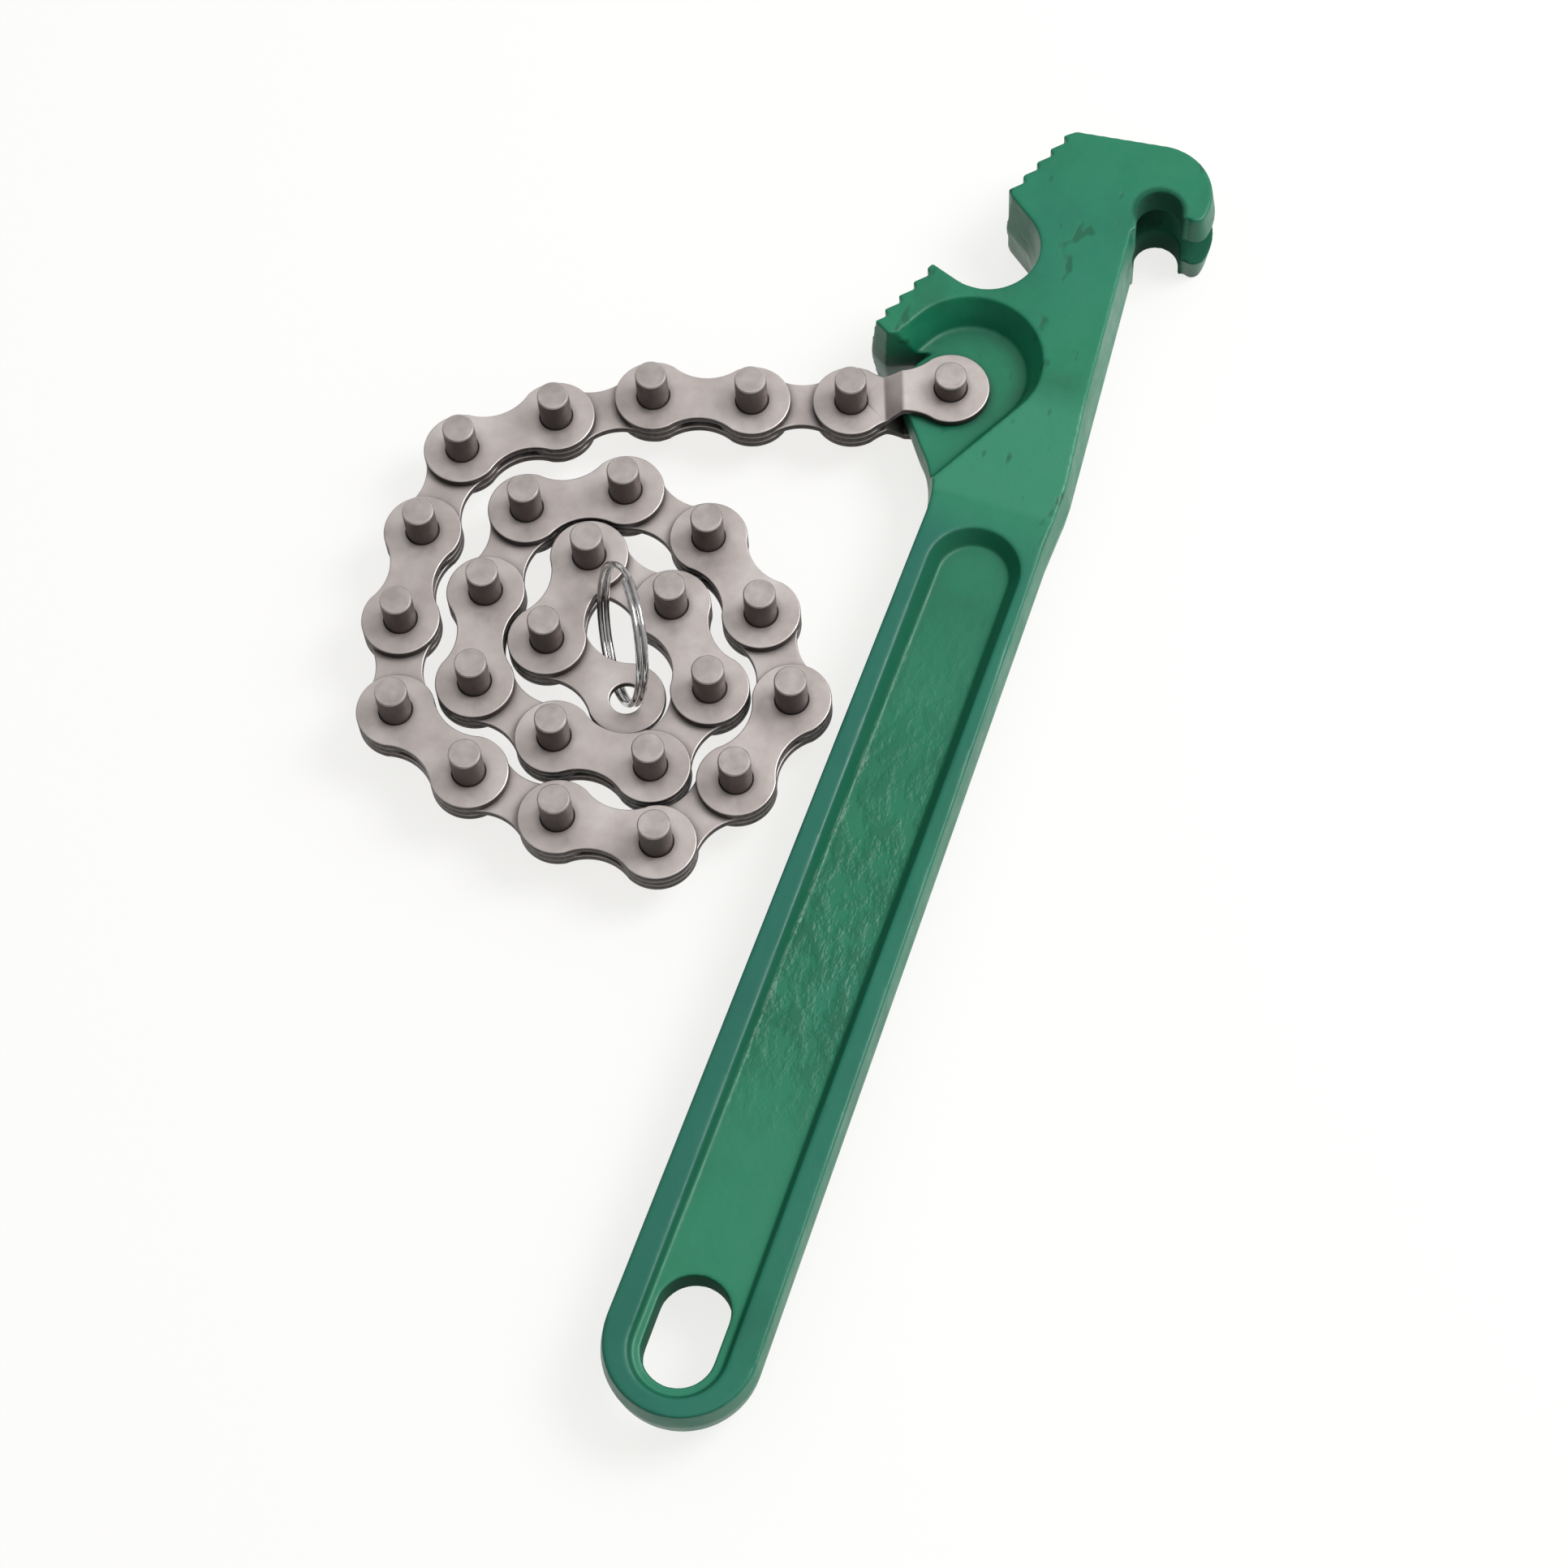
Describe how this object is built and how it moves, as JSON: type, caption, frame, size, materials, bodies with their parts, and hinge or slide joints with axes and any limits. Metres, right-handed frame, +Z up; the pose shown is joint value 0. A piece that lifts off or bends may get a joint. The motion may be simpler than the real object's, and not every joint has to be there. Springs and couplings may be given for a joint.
{
  "type": "chain pipe wrench",
  "caption": "Forged chain pipe wrench: slim panelled handle with hanging hole, toothed jaws and forked hook, and a coiled plate chain with a split ring, for turning pipes.",
  "frame": {"origin": "middle of the hanging hole, half way through the handle's thickness", "axes": "+Y along the handle to the head, +Z up off the table through the handle's thickness, +X to the hook side, so that the coil lies on the -X side"},
  "size_m": [0.108, 0.2256, 0.0275],
  "materials": {
    "enamel": "gloss",
    "plate": "satin",
    "pin": "satin",
    "ring": "gloss"
  },
  "bodies": {
    "handle": {"handle": "enamel"},
    "link_01": {"link_01_upper_plate": "plate", "link_01_lower_plate": "plate", "link_01_pins": "pin"},
    "link_02": {"link_02_plate": "plate"},
    "link_03": {"link_03_upper_plate": "plate", "link_03_lower_plate": "plate", "link_03_pins": "pin"},
    "link_04": {"link_04_plate": "plate"},
    "link_05": {"link_05_upper_plate": "plate", "link_05_lower_plate": "plate", "link_05_pins": "pin"},
    "link_06": {"link_06_plate": "plate"},
    "link_07": {"link_07_upper_plate": "plate", "link_07_lower_plate": "plate", "link_07_pins": "pin"},
    "link_08": {"link_08_plate": "plate"},
    "link_09": {"link_09_upper_plate": "plate", "link_09_lower_plate": "plate", "link_09_pins": "pin"},
    "link_10": {"link_10_plate": "plate"},
    "link_11": {"link_11_upper_plate": "plate", "link_11_lower_plate": "plate", "link_11_pins": "pin"},
    "link_12": {"link_12_plate": "plate"},
    "link_13": {"link_13_upper_plate": "plate", "link_13_lower_plate": "plate", "link_13_pins": "pin"},
    "link_14": {"link_14_plate": "plate"},
    "link_15": {"link_15_upper_plate": "plate", "link_15_lower_plate": "plate", "link_15_pins": "pin"},
    "link_16": {"link_16_plate": "plate"},
    "link_17": {"link_17_upper_plate": "plate", "link_17_lower_plate": "plate", "link_17_pins": "pin"},
    "link_18": {"link_18_plate": "plate"},
    "link_19": {"link_19_upper_plate": "plate", "link_19_lower_plate": "plate", "link_19_pins": "pin"},
    "link_20": {"link_20_plate": "plate"},
    "link_21": {"link_21_upper_plate": "plate", "link_21_lower_plate": "plate", "link_21_pins": "pin"},
    "link_22": {"link_22_plate": "plate"},
    "link_23": {"link_23_upper_plate": "plate", "link_23_lower_plate": "plate", "link_23_pins": "pin"},
    "link_24": {"link_24_plate": "plate"},
    "link_25": {"link_25_upper_plate": "plate", "link_25_lower_plate": "plate", "link_25_pins": "pin"},
    "link_26": {"link_26_plate": "plate"},
    "split_ring": {"split_ring": "ring"}
  },
  "joints": [
    {"name": "anchor_swing", "type": "hinge", "parent": "handle", "child": "link_01", "pos_m": [-0.0132, 0.1593, 0], "axis": [0, 0, -1], "range_deg": [-1.5, 3]},
    {"name": "pin_02_turn", "type": "hinge", "parent": "link_01", "child": "link_02", "pos_m": [-0.02802, 0.15361, 0], "axis": [0, 0, -1], "range_deg": [0, 36]},
    {"name": "pin_03_turn", "type": "hinge", "parent": "link_02", "child": "link_03", "pos_m": [-0.04312, 0.14871, 0], "axis": [0, 0, -1], "range_deg": [0, 27]},
    {"name": "pin_04_turn", "type": "hinge", "parent": "link_03", "child": "link_04", "pos_m": [-0.05845, 0.1446, 0], "axis": [0, 0, -1], "range_deg": [0, 51]},
    {"name": "pin_05_turn", "type": "hinge", "parent": "link_04", "child": "link_05", "pos_m": [-0.07192, 0.13618, 0], "axis": [0, 0, -1], "range_deg": [0, 46]},
    {"name": "pin_06_turn", "type": "hinge", "parent": "link_05", "child": "link_06", "pos_m": [-0.08408, 0.12598, 0], "axis": [0, 0, -1], "range_deg": [0, 63]},
    {"name": "pin_07_turn", "type": "hinge", "parent": "link_06", "child": "link_07", "pos_m": [-0.08463, 0.11011, 0], "axis": [0, 0, -1], "range_deg": [0, 23]},
    {"name": "pin_08_turn", "type": "hinge", "parent": "link_07", "child": "link_08", "pos_m": [-0.08215, 0.09443, 0], "axis": [0, 0, -1], "range_deg": [0, 23]},
    {"name": "pin_09_turn", "type": "hinge", "parent": "link_08", "child": "link_09", "pos_m": [-0.07698, 0.07942, 0], "axis": [0, 0, -1], "range_deg": [0, 52]},
    {"name": "pin_10_turn", "type": "hinge", "parent": "link_09", "child": "link_10", "pos_m": [-0.06237, 0.07322, 0], "axis": [0, 0, -1], "range_deg": [0, 32]},
    {"name": "pin_11_turn", "type": "hinge", "parent": "link_10", "child": "link_11", "pos_m": [-0.04673, 0.07047, 0], "axis": [0, 0, -1], "range_deg": [0, 36]},
    {"name": "pin_12_turn", "type": "hinge", "parent": "link_11", "child": "link_12", "pos_m": [-0.03088, 0.0713, 0], "axis": [0, 0, -1], "range_deg": [0, 59]},
    {"name": "pin_13_turn", "type": "hinge", "parent": "link_12", "child": "link_13", "pos_m": [-0.02294, 0.08504, 0], "axis": [0, 0, -1], "range_deg": [0, 40]},
    {"name": "pin_14_turn", "type": "hinge", "parent": "link_13", "child": "link_14", "pos_m": [-0.01937, 0.10051, 0], "axis": [0, 0, -1], "range_deg": [0, 61]},
    {"name": "pin_15_turn", "type": "hinge", "parent": "link_14", "child": "link_15", "pos_m": [-0.02892, 0.11319, 0], "axis": [0, 0, -1], "range_deg": [0, 36]},
    {"name": "pin_16_turn", "type": "hinge", "parent": "link_15", "child": "link_16", "pos_m": [-0.04126, 0.12318, 0], "axis": [0, 0, -1], "range_deg": [0, 31]},
    {"name": "pin_17_turn", "type": "hinge", "parent": "link_16", "child": "link_17", "pos_m": [-0.05666, 0.12702, 0], "axis": [0, 0, -1], "range_deg": [0, 30]},
    {"name": "pin_18_turn", "type": "hinge", "parent": "link_17", "child": "link_18", "pos_m": [-0.07041, 0.11908, 0], "axis": [0, 0, -1], "range_deg": [0, 33]},
    {"name": "pin_19_turn", "type": "hinge", "parent": "link_18", "child": "link_19", "pos_m": [-0.07124, 0.10323, 0], "axis": [0, 0, -1], "range_deg": [0, 20]},
    {"name": "pin_20_turn", "type": "hinge", "parent": "link_19", "child": "link_20", "pos_m": [-0.06713, 0.0879, 0], "axis": [0, 0, -1], "range_deg": [0, 31]},
    {"name": "pin_21_turn", "type": "hinge", "parent": "link_20", "child": "link_21", "pos_m": [-0.05204, 0.08299, 0], "axis": [0, 0, -1], "range_deg": [0, 22]},
    {"name": "pin_22_turn", "type": "hinge", "parent": "link_21", "child": "link_22", "pos_m": [-0.03616, 0.08299, 0], "axis": [0, 0, -1], "range_deg": [0, 18]},
    {"name": "pin_23_turn", "type": "hinge", "parent": "link_22", "child": "link_23", "pos_m": [-0.03205, 0.09833, 0], "axis": [0, 0, -1], "range_deg": [0, 10]},
    {"name": "pin_24_turn", "type": "hinge", "parent": "link_23", "child": "link_24", "pos_m": [-0.04268, 0.11012, 0], "axis": [0, 0, -1], "range_deg": [0, 4]},
    {"name": "pin_25_turn", "type": "hinge", "parent": "link_24", "child": "link_25", "pos_m": [-0.05801, 0.11423, 0], "axis": [0, 0, -1], "range_deg": [0, 2]},
    {"name": "pin_26_turn", "type": "hinge", "parent": "link_25", "child": "link_26", "pos_m": [-0.05912, 0.0984, 0], "axis": [0, 0, -1], "range_deg": [0, 8]},
    {"name": "ring_turn", "type": "hinge", "parent": "link_26", "child": "split_ring", "pos_m": [-0.04681, 0.10035, 0.00758], "axis": [0.8078, 0.5449, -0.225], "continuous": true}
  ],
  "couplings": [
    {"joint": "pin_03_turn", "follows": "pin_02_turn", "ratio": 0.75},
    {"joint": "pin_04_turn", "follows": "pin_02_turn", "ratio": 1.4167},
    {"joint": "pin_05_turn", "follows": "pin_02_turn", "ratio": 1.2778},
    {"joint": "pin_06_turn", "follows": "pin_02_turn", "ratio": 1.75},
    {"joint": "pin_07_turn", "follows": "pin_02_turn", "ratio": 0.63889},
    {"joint": "pin_08_turn", "follows": "pin_02_turn", "ratio": 0.63889},
    {"joint": "pin_09_turn", "follows": "pin_02_turn", "ratio": 1.4444},
    {"joint": "pin_10_turn", "follows": "pin_02_turn", "ratio": 0.88889},
    {"joint": "pin_11_turn", "follows": "pin_02_turn", "ratio": 1},
    {"joint": "pin_12_turn", "follows": "pin_02_turn", "ratio": 1.6389},
    {"joint": "pin_13_turn", "follows": "pin_02_turn", "ratio": 1.1111},
    {"joint": "pin_14_turn", "follows": "pin_02_turn", "ratio": 1.6944},
    {"joint": "pin_15_turn", "follows": "pin_02_turn", "ratio": 1},
    {"joint": "pin_16_turn", "follows": "pin_02_turn", "ratio": 0.86111},
    {"joint": "pin_17_turn", "follows": "pin_02_turn", "ratio": 0.83333},
    {"joint": "pin_18_turn", "follows": "pin_02_turn", "ratio": 0.91667},
    {"joint": "pin_19_turn", "follows": "pin_02_turn", "ratio": 0.55556},
    {"joint": "pin_20_turn", "follows": "pin_02_turn", "ratio": 0.86111},
    {"joint": "pin_21_turn", "follows": "pin_02_turn", "ratio": 0.61111},
    {"joint": "pin_22_turn", "follows": "pin_02_turn", "ratio": 0.5},
    {"joint": "pin_23_turn", "follows": "pin_02_turn", "ratio": 0.27778},
    {"joint": "pin_24_turn", "follows": "pin_02_turn", "ratio": 0.11111},
    {"joint": "pin_25_turn", "follows": "pin_02_turn", "ratio": 0.055555},
    {"joint": "pin_26_turn", "follows": "pin_02_turn", "ratio": 0.22222}
  ]
}
